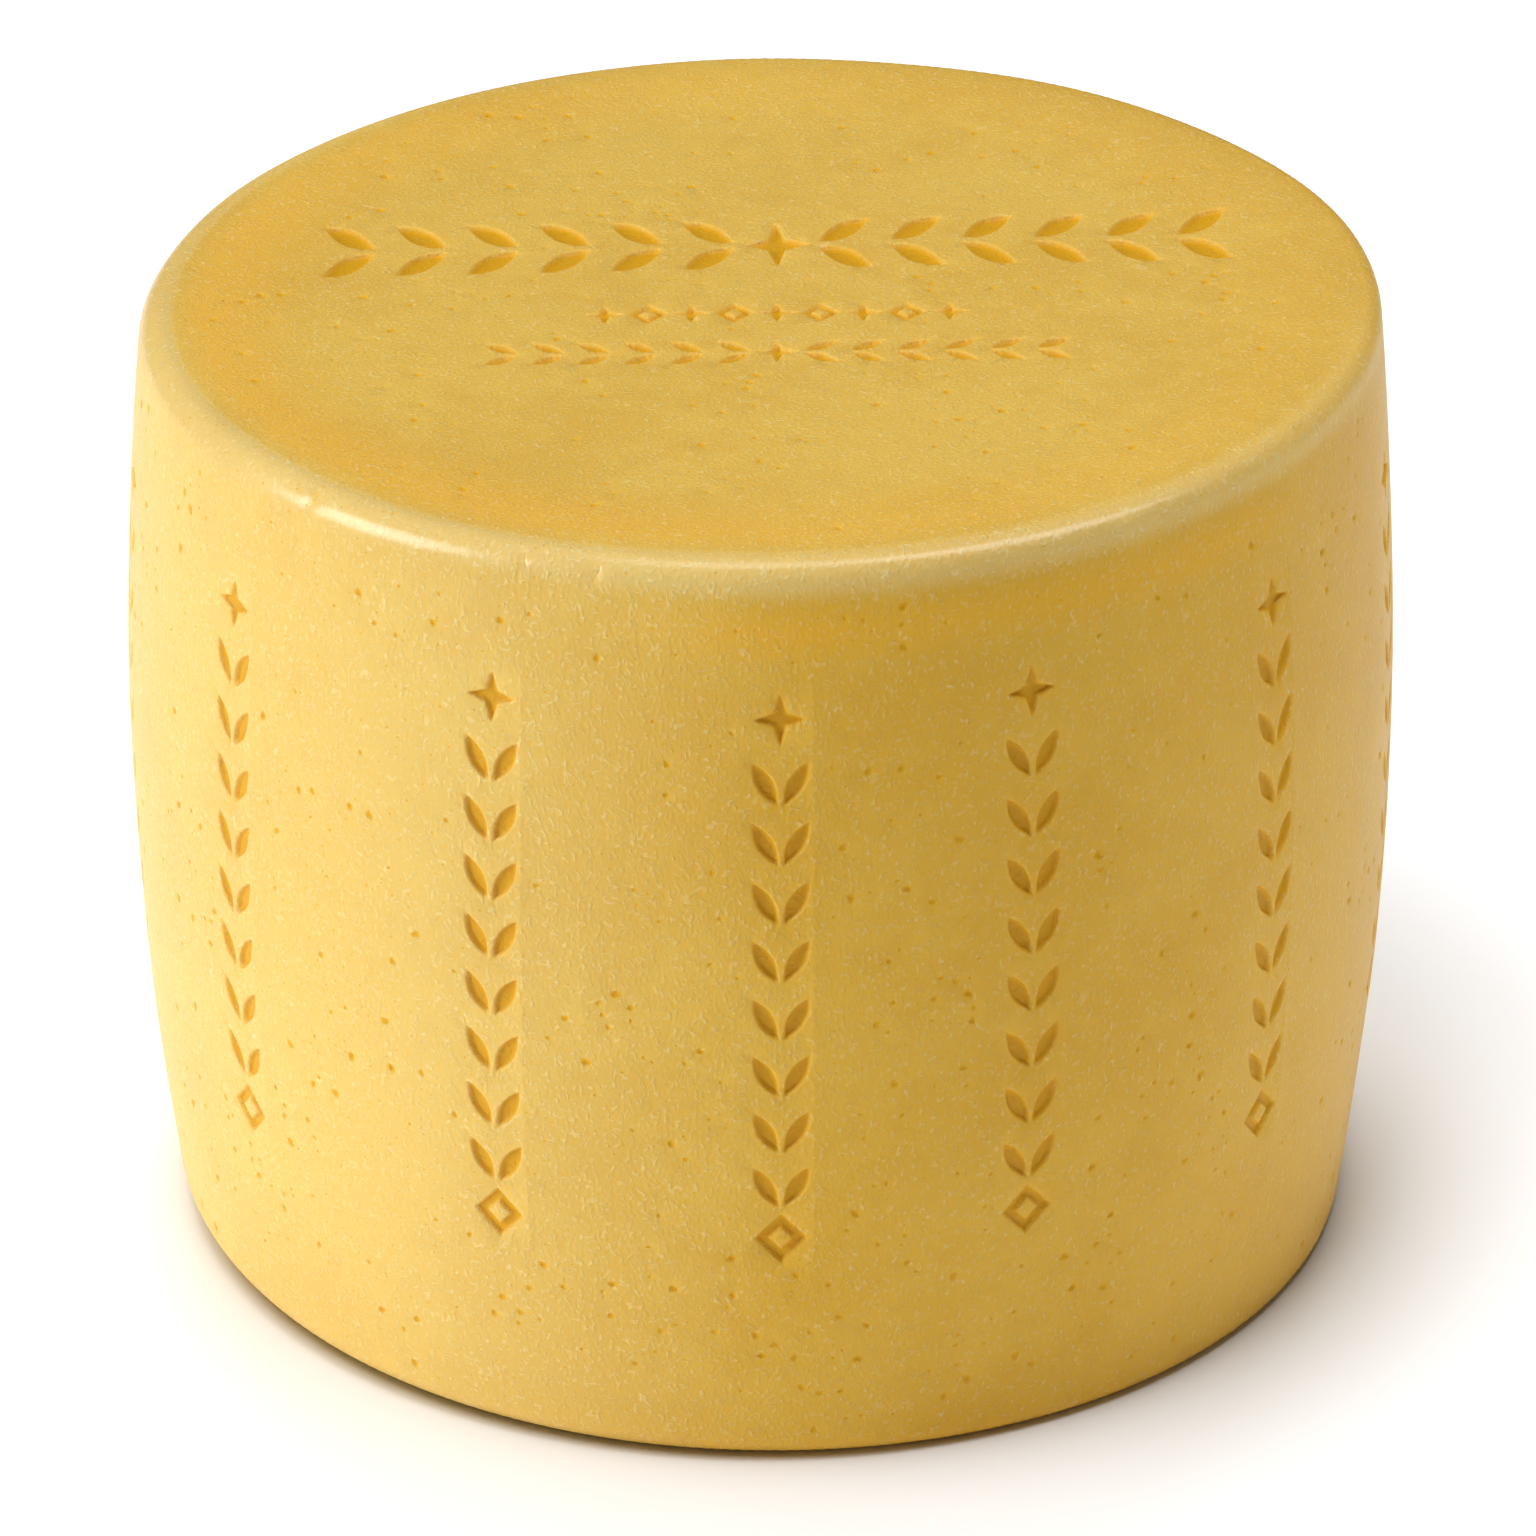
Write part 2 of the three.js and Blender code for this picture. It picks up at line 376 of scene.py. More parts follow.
TOP_ROWS = (
    {"marks": 13, "leafy": True, "length": 257 * MM, "tall": 31 * MM, "y": 36 * MM, "turn": 0.018},
    {"marks": 9, "leafy": False, "length": 105 * MM, "tall": 12 * MM, "y": -9 * MM, "turn": 0},
    {"marks": 13, "leafy": True, "length": 162 * MM, "tall": 13 * MM, "y": -34 * MM, "turn": 0},
)
TOP_ROW_X = 4.5 * MM


def top_marks(shape):
    """Marks in plan on the top face: leaves that grow outwards from a star, or stars and lozenges."""
    marks = []
    for row in TOP_ROWS:
        pitch = row["length"] / row["marks"]
        middle = (row["marks"] - 1) // 2
        turn = row["turn"]
        for i in range(row["marks"]):
            along = pitch * (i - middle)
            centre = [TOP_ROW_X + along * math.cos(turn), row["y"] + along * math.sin(turn)]
            plain = STAR if (i - middle) % 2 == 0 else LOZENGE
            leaves = (leaf_pair(180 if i < middle else 0), [])
            ornament = leaves if row["leafy"] and i != middle else plain
            width = pitch * shape.fill
            marks.append(Mark(ornament, centre, width, row["tall"], turn, shape.top_depth))
    return marks


# Pits, cracks and creases

def pit_edge(turn, phase):
    """A pit's uneven edge: its reach in each direction as a share of its radius, by two sines."""
    return 1 + 0.2 * np.sin(2 * turn + phase[..., 0]) + 0.14 * np.sin(3 * turn + phase[..., 1])


SIDE_PITS = {"count": 1500, "smallest": 0.5 * MM, "largest": 1.5 * MM}
TOP_PITS = {"count": 340, "smallest": 0.45 * MM, "largest": 1.3 * MM}
GROUP_SIZE = 14
GROUP_SPREAD = 7 * MM
GATHERED_SHARE = 0.45
SMALLER_POWER = 1.7
PIT_DEPTHS = (0.35, 0.6)
PIT_ROOM = 1.7
PIT_CELL = 2.2 * MM
PIT_RINGS = ((0.45, 4), (0.85, 7), (1.25, 8))


class Pits:
    """Pits in a plane: their places, radii, depths and the phases of their edges."""

    def __init__(self, place, radius, deep, phase):
        self.place, self.radius, self.deep, self.phase = place, radius, deep, phase

    @classmethod
    def scattered(cls, rng, low, high, count, smallest, largest):
        """Near half of them gather in groups, and more are small than large, by a random draw's power."""
        place = rng.uniform(low, high, (count, 2))
        middles = rng.uniform(low, high, (count // GROUP_SIZE, 2))
        group = rng.integers(len(middles), size=count)
        gathered = middles[group] + rng.normal(0, GROUP_SPREAD, (count, 2))
        place = np.clip(np.where(rng.random((count, 1)) < GATHERED_SHARE, gathered, place), low, high)
        radius = smallest + (largest - smallest) * rng.random(count) ** SMALLER_POWER
        deep = radius * rng.uniform(*PIT_DEPTHS, count)
        return cls(place, radius, deep, rng.uniform(0, TAU, (count, 2)))

    def kept(self, chosen):
        return Pits(self.place[chosen], self.radius[chosen], self.deep[chosen], self.phase[chosen])

    def spread(self, marked):
        """Those pits that keep clear of the marks and of each other, the larger first."""
        ordered = self.kept(np.argsort(-self.radius))
        apart = np.linalg.norm(ordered.place[:, None] - ordered.place[None], axis=-1)
        room = PIT_ROOM * (ordered.radius[:, None] + ordered.radius[None])
        alone = ~np.triu(apart < room, 1).any(0)
        free = clear_of(ordered.place, marked, PIT_CELL)
        return ordered.kept(alone & (ordered.place[:, None] == free[None]).all(-1).any(1))

    def points(self):
        """Points in rings over each pit: its middle, its bowl and its lip."""
        rings = [np.zeros((1, 2))]
        for reach, count in PIT_RINGS:
            turn = TAU * (np.arange(count) + reach) / count
            rings.append(np.stack([turn, np.full(count, reach)], -1))
        turn, reach = np.concatenate(rings).T
        reach = reach * self.radius[:, None] * pit_edge(turn, self.phase[:, None])
        around = np.stack([reach * np.cos(turn), reach * np.sin(turn)], -1)
        return (self.place[:, None] + around).reshape(-1, 2)

    def press(self, points, depth, hollow):
        """Adds each pit's bowl, a paraboloid to the power 1.2, to the depths, and the bowl to the mask
        of the shade painted in hollows.
        """
        for place, radius, deep, phase in zip(self.place, self.radius, self.deep, self.phase):
            near = np.flatnonzero((np.abs(points - place) < 1.4 * radius).all(1))
            to = points[near] - place
            edge = radius * pit_edge(np.arctan2(to[:, 1], to[:, 0]), phase)
            bowl = np.maximum(0, 1 - (to**2).sum(1) / edge**2)
            hollow[near] = np.maximum(hollow[near], bowl)
            depth[near] += deep * bowl**1.2


# Angles in degrees from the front; top and bottom, below the top face's edge, and widths in mm
CRACKS = (
    {"angle": -44.3, "top": 2.0, "bottom": 9.0, "half": 0.3, "deep": 0.4, "bend": 1.0},
    {"angle": -45.6, "top": 14.0, "bottom": 18.0, "half": 0.4, "deep": 0.12, "bend": 0.8},
    {"angle": -21.0, "top": 4.0, "bottom": 8.0, "half": 0.25, "deep": 0.2, "bend": -0.7},
    {"angle": -14.5, "top": 4.0, "bottom": 9.0, "half": 0.25, "deep": 0.25, "bend": 0.8},
    {"angle": 128.0, "top": 2.0, "bottom": 11.0, "half": 0.3, "deep": 0.4, "bend": -0.8},
)


CRACK_WAVES = 0.8
CRACK_STEP = 0.8
CRACK_ACROSS = np.array([-1.8, -0.8, 0, 0.8, 1.8])
CRACK_SHADE = 0.3


def crack_middle(crack, shape, t):
    """A crack's middle line at a share t of its way down: straight, with most of a wave across it."""
    bend = crack["bend"] * MM * np.sin(TAU * CRACK_WAVES * t)
    return math.radians(crack["angle"]) * shape.radius + bend


def crack_points(crack, shape):
    """Points on a crack's middle line, its edges and just outside."""
    long = crack["bottom"] - crack["top"]
    t = np.linspace(0, 1, round(long / CRACK_STEP))
    v = shape.height - (crack["top"] + long * t) * MM
    x = crack_middle(crack, shape, t) + CRACK_ACROSS[:, None] * crack["half"] * MM
    return np.stack([x, np.broadcast_to(v, x.shape)], -1).reshape(-1, 2)


def crack_depth(points, crack, shape):
    """A bell's depth from 0 to 1 across the crack, fading over a fifth of it at each end."""
    t = (shape.height - points[:, 1]) / MM
    t = (t - crack["top"]) / (crack["bottom"] - crack["top"])
    across = (points[:, 0] - crack_middle(crack, shape, t)) / (crack["half"] * MM)
    return np.exp(-across**2) * smooth(t * 5) * smooth((1 - t) * 5)


CREASE_FROM = math.radians(20)
CREASE_TO = math.radians(52)
CREASE_FADE = 0.12
CREASE_UNDER = 3.4
CREASE_WIDTH = 0.9 * MM
CREASE_DEPTH = 0.1 * MM


def crease_depth(points, shape):
    """A shallow groove along the top rim on the front's right, in a bell across a line that wavers by
    two sines about its distance in mm under the edge."""
    phi = points[:, 0] / shape.radius
    line = shape.height - (CREASE_UNDER + 0.7 * np.sin(phi * 23) + 0.4 * np.sin(phi * 51)) * MM
    along = smooth((phi - CREASE_FROM) / CREASE_FADE) * smooth((CREASE_TO - phi) / CREASE_FADE)
    return CREASE_DEPTH * along * np.exp(-(((points[:, 1] - line) / CREASE_WIDTH) ** 2))


PLATE_EDGE = 8.6 * MM
PLATE_LIP = 0.35 * MM
PLATE_SINK = 0.07 * MM
PLATE_MARGIN = 3 * MM
PLATE_STEP = 3 * MM
PLATE_ENDS = 5 * MM
PLATE_LEFT = 3 * MM
PLATE_RIGHT = 0.5 * MM


def plate_lines(shape, mark_shape):
    """The middles in the plane of the plates that pressed the columns, and their low and high ends."""
    middles = column_angles(mark_shape) * shape.radius
    return middles, mark_shape.column_low - PLATE_MARGIN, mark_shape.column_high + PLATE_MARGIN


def plate_points(shape, mark_shape):
    """Three rows of points along each plate's right edge."""
    middles, low, high = plate_lines(shape, mark_shape)
    v = np.arange(low, high, PLATE_STEP)
    x = (middles[:, None] + PLATE_EDGE + np.array([-1.1, 0, 1.1]) * PLATE_LIP).ravel()
    return np.stack(np.meshgrid(x, v), -1).reshape(-1, 2)


def plate_depth(points, shape, mark_shape):
    """A plate's place is sunk a little, by an even S at its ends and sides, the right one steeper,
    with a thin raised lip along it."""
    middles, low, high = plate_lines(shape, mark_shape)
    ends = smooth((points[:, 1] - low) / PLATE_ENDS) * smooth((high - points[:, 1]) / PLATE_ENDS)
    depth = np.zeros(len(points))
    for middle in middles:
        x = points[:, 0] - middle
        sunk = smooth((x + PLATE_EDGE) / PLATE_LEFT) * smooth((PLATE_EDGE - x) / PLATE_RIGHT)
        depth += PLATE_SINK * sunk - PLATE_SINK * np.exp(-(((x - PLATE_EDGE) / PLATE_LIP) ** 2))
    return depth * ends


def press_marks(points, marks, wall, depth, pressed):
    """Sets the marks' depths: an even S down the wall, then the flat floor; and the same S as the
    mask of the shade painted in the marks.
    """
    for mark in marks:
        low, high = mark.box(1.5 * MM)
        near = np.flatnonzero(((points > low) & (points < high)).all(1))
        amount = smooth(-mark.reach(points[near]) / wall)
        pressed[near] = np.maximum(pressed[near], amount)
        depth[near] = np.maximum(depth[near], amount * mark.depth)


DETAIL_CELL = 1.5 * MM


def clear_of(points, others, cell):
    """Those points whose cell of a square grid, and the eight round it, hold none of the others."""
    low = np.minimum(points.min(0), others.min(0)) - 2 * cell
    shape = np.ceil((np.maximum(points.max(0), others.max(0)) - low) / cell).astype(int) + 3
    taken = np.zeros(shape, bool)
    i, j = ((others - low) / cell).astype(int).T
    for di in (-1, 0, 1):
        for dj in (-1, 0, 1):
            taken[i + di, j + dj] = True
    i, j = ((points - low) / cell).astype(int).T
    return points[~taken[i, j]]


def triangles(points):
    """Delaunay triangles of points in a plane, anticlockwise."""
    flat = [Vector(p) for p in points / MM]
    made = delaunay_2d_cdt(flat, [], [], 0, 1e-5)
    kept = np.array([ids[0] for ids in made[3]])
    return kept[np.array(made[2], dtype=int)]


COLUMNS_ROUND = 288
LOW_ROWS = 15
MIDDLE_ROWS = 60
HIGH_ROWS = 21


def side_rows(drum):
    """Runs v of the rows round the side: closer in the two rims."""
    s = drum.s
    low = np.linspace(0, drum.RIM, LOW_ROWS)
    middle = np.linspace(drum.RIM, s.height - drum.RIM, MIDDLE_ROWS)[1:-1]
    high = np.linspace(s.height - drum.RIM, s.height, HIGH_ROWS)
    return np.concatenate([low, middle, high])


def side_sheet(drum, details):
    """Points of the side in its plane: the base's and the top face's edges, the seam's left end, rows
    whose every second one is shifted by half a step, the details, and the seam's right end. The
    second array holds each point's own number, or for the right end that of its twin on the left."""
    half_round = math.pi * drum.s.radius
    rows = side_rows(drum)
    step = 2 * half_round / COLUMNS_ROUND
    xs = -half_round + step * np.arange(COLUMNS_ROUND)
    inner = []
    for k, v in enumerate(rows[1:-1]):
        across = xs + step / 2 if k % 2 == 0 else xs[1:]
        inner.append(np.stack([across, np.full(len(across), v)], -1))
    inner = clear_of(np.concatenate(inner), details, DETAIL_CELL)
    seam = rows[2:-1:2]
    left = np.stack([np.full(len(seam), -half_round), seam], -1)
    right = np.stack([np.full(len(seam), half_round), seam], -1)
    bottom = np.stack([xs, np.zeros(COLUMNS_ROUND)], -1)
    top = np.stack([xs, np.full(COLUMNS_ROUND, rows[-1])], -1)
    ends = np.array([[half_round, 0], [half_round, rows[-1]]])
    points = np.concatenate([bottom, top, left, inner, details, right, ends])
    same = np.arange(len(points))
    count = len(points) - len(right) - 2
    same[count:count + len(right)] = 2 * COLUMNS_ROUND + np.arange(len(left))
    same[-2:] = [0, COLUMNS_ROUND]
    return points, same


def rings_in(radius, step, start):
    """Points in rings inside a circle, a step apart both ways."""
    rings = [np.zeros((1, 2))]
    for r in np.arange(radius - start, step, -step):
        turn = TAU * (np.arange(round(TAU * r / step)) + (r / step) % 1) / round(TAU * r / step)
        rings.append(r * np.stack([np.cos(turn), np.sin(turn)], -1))
    return np.concatenate(rings)


SWELLS = 9
SWELL_LENGTHS = (60 * MM, 160 * MM)
SWELL_FADE = 25 * MM


def lumps(points, amount):
    """A gentle swell: twice the mean of sines of several wavelengths along random directions."""
    rng = np.random.default_rng(11)
    way = rng.normal(size=(SWELLS, 3))
    way /= np.linalg.norm(way, axis=1)[:, None]
    wave = TAU / rng.uniform(*SWELL_LENGTHS, SWELLS)
    return amount * np.sin((points @ way.T) * wave + rng.uniform(0, TAU, SWELLS)).mean(1) * 2


# The masks of the rind's painted shade, glow, sheen and highlights: angles from the front in radians, to
# the right above 0
# The band of painted shade under the top rim, its depth and half width, and the height of the painted shade
# along the base
SHADE_BAND_UNDER = 19 * MM
SHADE_BAND_HALF = 8 * MM
BASE_SHADE_HEIGHT = 26 * MM


def side_painted_shade(points, shape):
    """How much shade is painted on the side in a redder amber: in a bell's band under the top rim at
    the front's right, along the base, and a little on the whole right, away from the key light."""
    phi = points[:, 0] / shape.radius
    under = shape.height - points[:, 1]
    band = np.exp(-(((under - SHADE_BAND_UNDER) / SHADE_BAND_HALF) ** 2))
    band *= smooth((phi + 0.35) / 0.4) * smooth((1.25 - phi) / 0.5)
    right = smooth((phi + 0.5) / 0.8)
    base = smooth(1 - points[:, 1] / BASE_SHADE_HEIGHT) * (0.3 + 0.4 * right)
    return np.maximum(np.maximum(band, base), 0.35 * right * smooth((2.6 - phi) / 0.8))


# How far under the top face's edge the painted rim highlight reaches, and over how much it fades
SHEEN_RIM = 13.5 * MM
SHEEN_FADE = 7 * MM


def rim_painted_highlight(phi):
    """How much highlight is painted on the top rim at an angle from the front: most at the left, where
    the key light falls, and a little more again in a span at the right."""
    right = smooth((phi - 0.2) / 0.4) * smooth((1.7 - phi) / 0.5)
    return 0.55 + 0.32 * np.cos(phi + 0.7) + 0.12 * right


def side_painted_sheen(points, shape):
    """How much pale sheen and highlight is painted on the rind: along the top rim, and on the side at
    the left of the front, where the key light falls.
    """
    phi = points[:, 0] / shape.radius
    under = shape.height - points[:, 1]
    rim = smooth((SHEEN_RIM - under) / SHEEN_FADE) * rim_painted_highlight(phi)
    face = 0.46 * smooth((np.cos(phi + 1.1) - 0.36) / 0.5) + 0.1
    return np.maximum(rim, face)


# The direction in which the top's painted glow is strongest
GLOW_TOWARDS = math.radians(-150)


def top_painted_glow(points, reach):
    """How much glow is painted on the top face in a redder amber: in a band inside its rim, more on
    the left and in front, towards the key light.
    """
    part = np.hypot(points[:, 0], points[:, 1]) / reach
    theta = np.arctan2(points[:, 1], points[:, 0])
    more = 0.55 + 0.45 * np.cos(theta - GLOW_TOWARDS)
    return smooth((part - 0.72) / 0.2) * smooth((1.0 - part) / 0.06) * more


def top_painted_sheen(points, reach):
    """How much pale sheen is painted on the top face: some all over, and most at its very rim, the
    painted highlight.
    """
    part = np.hypot(points[:, 0], points[:, 1]) / reach
    phi = np.arctan2(points[:, 1], points[:, 0]) - FRONT
    return np.maximum(smooth((part - 0.97) / 0.04) * rim_painted_highlight(phi), 0.3)


# How far the pits keep from the seam, the base and the top face's edge
BARE_SEAM = 4 * MM
BARE_BASE = 12 * MM
BARE_RIM = 14 * MM
# The share of the top face's radius that holds pits, and the square that they are drawn in
PITTED = 0.93
PITTED_SQUARE = 0.94
# How far apart the plain points of the top face and of the base are
TOP_STEP = 3.8 * MM
BASE_STEP = 9 * MM


def wheel_mesh(shape, mark_shape):
    """The whole rind as one closed mesh: the side, the top face and the base, each triangulated in
    its own plane and joined at the rims. Returns the vertices, the faces and each point's masks."""
    drum = Drum(shape)
    wall = mark_shape.wall
    rng = np.random.default_rng(5)
    half_round = math.pi * shape.radius
    side = row_marks(mark_shape, drum)
    top = top_marks(mark_shape)

    low = np.array([-half_round + BARE_SEAM, BARE_BASE])
    high = np.array([half_round - BARE_SEAM, shape.height - BARE_RIM])
    lines = [plate_points(shape, mark_shape)] + [crack_points(crack, shape) for crack in CRACKS]
    marked = np.concatenate([mark_points(m, wall) for m in side] + lines)
    pits = Pits.scattered(rng, low, high, **SIDE_PITS).spread(marked)
    details = np.concatenate([marked, pits.points()])
    plane, same = side_sheet(drum, details)
    side_faces = same[triangles(plane)]
    plane = plane[: len(plane) - (same != np.arange(len(same))).sum()]
    side_count = len(plane)
    depth, pressed, hollow = np.zeros((3, side_count))
    press_marks(plane, side, wall, depth, pressed)
    pits.press(plane, depth, hollow)
    for crack in CRACKS:
        gash = crack_depth(plane, crack, shape)
        depth += crack["deep"] * MM * gash
        hollow = np.maximum(hollow, CRACK_SHADE * gash)
    depth += crease_depth(plane, shape) + plate_depth(plane, shape, mark_shape)
    theta = plane[:, 0] / shape.radius + FRONT
    side_points = drum.round_at(theta, plane[:, 1])

    rim = side_points[COLUMNS_ROUND : 2 * COLUMNS_ROUND, :2]
    reach = float(np.linalg.norm(rim, axis=1).min())
    square = np.array([reach, reach]) * PITTED_SQUARE
    top_marked = np.concatenate([mark_points(m, wall) for m in top])
    top_pits = Pits.scattered(rng, -square, square, **TOP_PITS)
    top_pits = top_pits.kept(np.hypot(*top_pits.place.T) < PITTED * reach).spread(top_marked)
    top_details = np.concatenate([top_marked, top_pits.points()])
    rings = rings_in(reach, TOP_STEP, 2 * MM)
    inner = np.concatenate([clear_of(rings, top_details, DETAIL_CELL), top_details])
    ids = np.concatenate([np.arange(COLUMNS_ROUND) + COLUMNS_ROUND, side_count + np.arange(len(inner))])
    top_faces = ids[triangles(np.concatenate([rim, inner]))]
    top_depth, top_mark_shade, top_hollow_shade = np.zeros((3, len(inner)))
    press_marks(inner, top, wall, top_depth, top_mark_shade)
    top_pits.press(inner, top_depth, top_hollow_shade)

    edge = side_points[:COLUMNS_ROUND, :2]
    base = rings_in(float(np.linalg.norm(edge, axis=1).min()), BASE_STEP, 4 * MM)
    ids = np.concatenate([np.arange(COLUMNS_ROUND), side_count + len(inner) + np.arange(len(base))])
    base_faces = ids[triangles(np.concatenate([edge, base]))][:, ::-1]
    bare = np.zeros(len(base))

    flat_normals = np.tile([0, 0, 1.0], (len(inner) + len(base), 1))
    normals = np.concatenate([drum.round_normal(theta, plane[:, 1]), flat_normals])
    points = np.concatenate([side_points, drum.top_at(*inner.T), np.concatenate([base, bare[:, None]], 1)])
    swell = lumps(points, shape.lumps) * smooth(points[:, 2] / SWELL_FADE)
    points += normals * (swell - np.concatenate([depth, top_depth, bare]))[:, None]
    # Masks of the shade painted in marks and hollows, of painted shade and glow, and of painted sheen and
    # highlight
    masks = {
        "pressed": np.concatenate([pressed, top_mark_shade, bare]),
        "hollow": np.concatenate([hollow, top_hollow_shade, bare]),
        "warm": np.concatenate([side_painted_shade(plane, shape), top_painted_glow(inner, reach), bare]),
        "dry": np.concatenate([side_painted_sheen(plane, shape), top_painted_sheen(inner, reach), bare]),
    }
    return points, np.concatenate([side_faces, top_faces, base_faces]), masks


def mesh_object(name, vertices, faces, attributes):
    """A smooth mesh object from arrays, with a number for each vertex under each attribute's name."""
    mesh = bpy.data.meshes.new(name)
    mesh.vertices.add(len(vertices))
    mesh.vertices.foreach_set("co", vertices.astype(np.float32).ravel())
    mesh.loops.add(faces.size)
    mesh.loops.foreach_set("vertex_index", faces.astype(np.int32).ravel())
    mesh.polygons.add(len(faces))
    mesh.polygons.foreach_set("loop_start", np.arange(0, faces.size, 3, dtype=np.int32))
    mesh.update(calc_edges=True)
    mesh.validate()
    mesh.shade_smooth()
    for key, values in attributes.items():
        layer = mesh.attributes.new(key, "FLOAT", "POINT")
        layer.data.foreach_set("value", values.astype(np.float32))
    made = bpy.data.objects.new(name, mesh)
    bpy.context.scene.collection.objects.link(made)
    return made


# Materials

class Value:
    """A socket of a material that takes part in sums like a number."""

    def __init__(self, shader, socket):
        self.shader = shader
        self.socket = socket

    def _math(self, operation, *terms):
        return self.shader.node("ShaderNodeMath", {"operation": operation}, dict(enumerate(terms)))

    def __add__(self, other):
        return self._math("ADD", self, other)

    def __sub__(self, other):
        return self._math("SUBTRACT", self, other)

    def __rsub__(self, other):
        return self._math("SUBTRACT", other, self)

    def __mul__(self, other):
        return self._math("MULTIPLY", self, other)

    __radd__ = __add__

    def __abs__(self):
        return self._math("ABSOLUTE", self)

    def fraction(self):
        return self._math("FRACT", self)

    def between(self, low, high):
        """0 below low, 1 above high, and an even S between them."""
        values = {"Value": self, "From Min": low, "From Max": high}
        return self.shader.node("ShaderNodeMapRange", {"interpolation_type": "SMOOTHSTEP"}, values)


class Shader:
    """A material's node tree, built by calls."""

    def __init__(self, name):
        self.material = bpy.data.materials.new(name)
        self.material.use_nodes = True
        self.tree = self.material.node_tree
        self.tree.nodes.clear()

    def node(self, kind, settings=None, values=None, output=0):
        """A node of a kind with its settings, its sockets set or linked, and one output as a Value."""
        made = self.tree.nodes.new(kind)
        for key, setting in (settings or {}).items():
            setattr(made, key, setting)
        for key, value in (values or {}).items():
            if isinstance(value, Value):
                self.tree.links.new(value.socket, made.inputs[key])
            else:
                made.inputs[key].default_value = value
        return Value(self, made.outputs[output]) if made.outputs else made

    def noise(self, place, scale, detail=0, roughness=0.5, distortion=0):
        """Noise with a number of waves to the metre, from 0 to 1."""
        values = {"Vector": place, "Scale": scale, "Detail": detail}
        values.update({"Roughness": roughness, "Distortion": distortion})
        return self.node("ShaderNodeTexNoise", None, values)

    def cells(self, place, scale):
        """Distance to the nearest of scattered points, so many to the metre, and a random number from
        0 to 1 for each point."""
        near = self.node("ShaderNodeTexVoronoi", {"feature": "F1"}, {"Vector": place, "Scale": scale})
        chance = Value(self, near.socket.node.outputs["Color"])
        return near, self.node("ShaderNodeSeparateColor", None, {"Color": chance})

    def scaled(self, place, scale):
        return self.node("ShaderNodeMapping", None, {"Vector": place, "Scale": scale})

    def blend(self, amount, a, b):
        """Colour a turning into colour b."""
        return self.node("ShaderNodeMix", {"data_type": "RGBA"}, {0: amount, 6: a, 7: b}, output=2)

    def attribute(self, name):
        return self.node("ShaderNodeAttribute", {"attribute_name": name}, output=2)


def rind_material(finish):
    """Waxed rind: ochre mottled pale and deep. Painted shade in amber lies in the marks, pits, cracks
    and pinholes, and in bands under the top rim, along the base and on the right; a painted glow in
    amber lies inside the top rim; painted sheen and highlight in cream lie on the lit left, the top
    and the top rim. Threads are short pieces of a noise's contour lines, cut by a finer noise, their
    paleness partly painted glints. Pale flecks, partly painted glints, and dark grains are the peaks
    and hollows of the finest noise, drawn out upright. Pinholes are spots at a few of many scattered
    points. The coat grows with the painted sheen."""
    shader = Shader("rind")
    place = shader.node("ShaderNodeTexCoord", output=3)
    grain = shader.noise(shader.scaled(place, (1, 1, 0.6)), 1000)
    swirl = shader.noise(place, 260, distortion=0.6)
    broken = shader.noise(place, 620)
    middle = shader.noise(place, 110, detail=1, roughness=0.55)
    broad = shader.noise(place, 12, detail=2, roughness=0.6)
    near, chance = shader.cells(place, 430)
    dry = shader.attribute("dry")

    threads = 1 - abs((swirl * 5).fraction() - 0.5).between(0, 0.26)
    threads = threads * broken.between(0.46, 0.62)
    flecks_and_glints = grain.between(0.66, 0.82)
    dark = 1 - grain.between(0.27, 0.38)
    pinhole_shade = (1 - near.between(0.10, 0.19)) * (1 - chance.between(0.28, 0.34))

    tone = (broad * 0.75 + middle * 0.25).between(0.38, 0.62)
    base = shader.blend(tone, tuple(finish.deep), tuple(finish.pale))
    # Painted shade and glow in a redder amber, from the mesh's mask
    base = shader.blend(shader.attribute("warm") * 0.85, base, tuple(finish.warm))
    # Painted sheen and highlight in cream
    base = shader.blend(dry * 0.6, base, tuple(finish.cream))
    # Pale threads, their paleness partly painted glints, more where the sheen is painted
    base = shader.blend(threads * (0.15 + dry * 0.7), base, tuple(finish.cream))
    # Pale flecks, partly painted glints
    base = shader.blend(flecks_and_glints * 0.35, base, tuple(finish.cream))
    # Dark grains, in the same amber as the painted shade
    base = shader.blend(dark * 0.22, base, tuple(finish.warm))
    # Painted shade of pinholes, spots with no hole in the shape
    base = shader.blend(pinhole_shade * 0.8, base, tuple(finish.hollow))
    # Painted shade in the marks
    base = shader.blend(shader.attribute("pressed") * 0.9, base, tuple(finish.pressed))
    # Painted shade in pits and cracks
    base = shader.blend((shader.attribute("hollow") * 2).between(0, 1) * 0.9, base, tuple(finish.hollow))

    height = threads * 0.7 + grain * 1.2 + flecks_and_glints * 0.4 + middle * 1.6
    bump = shader.node("ShaderNodeBump", None, {"Strength": 1, "Distance": 0.15 * MM, "Height": height})
    surface = shader.node("ShaderNodeBsdfPrincipled", {"subsurface_method": "BURLEY"}, {
        "Base Color": base,
        "Roughness": 0.34 + middle * 0.16,
        "Normal": bump,
        "Subsurface Weight": finish.glow,
        "Subsurface Radius": (1, 0.5, 0.16),
        "Subsurface Scale": finish.glow_reach,
        "Specular IOR Level": 0.15,
        "IOR": 1.46,
        "Coat Weight": 0.05 + dry.between(0.5, 0.92) * 0.95,
        "Coat Roughness": 0.25,
    })
    shader.node("ShaderNodeOutputMaterial", None, {"Surface": surface})
    return shader.material


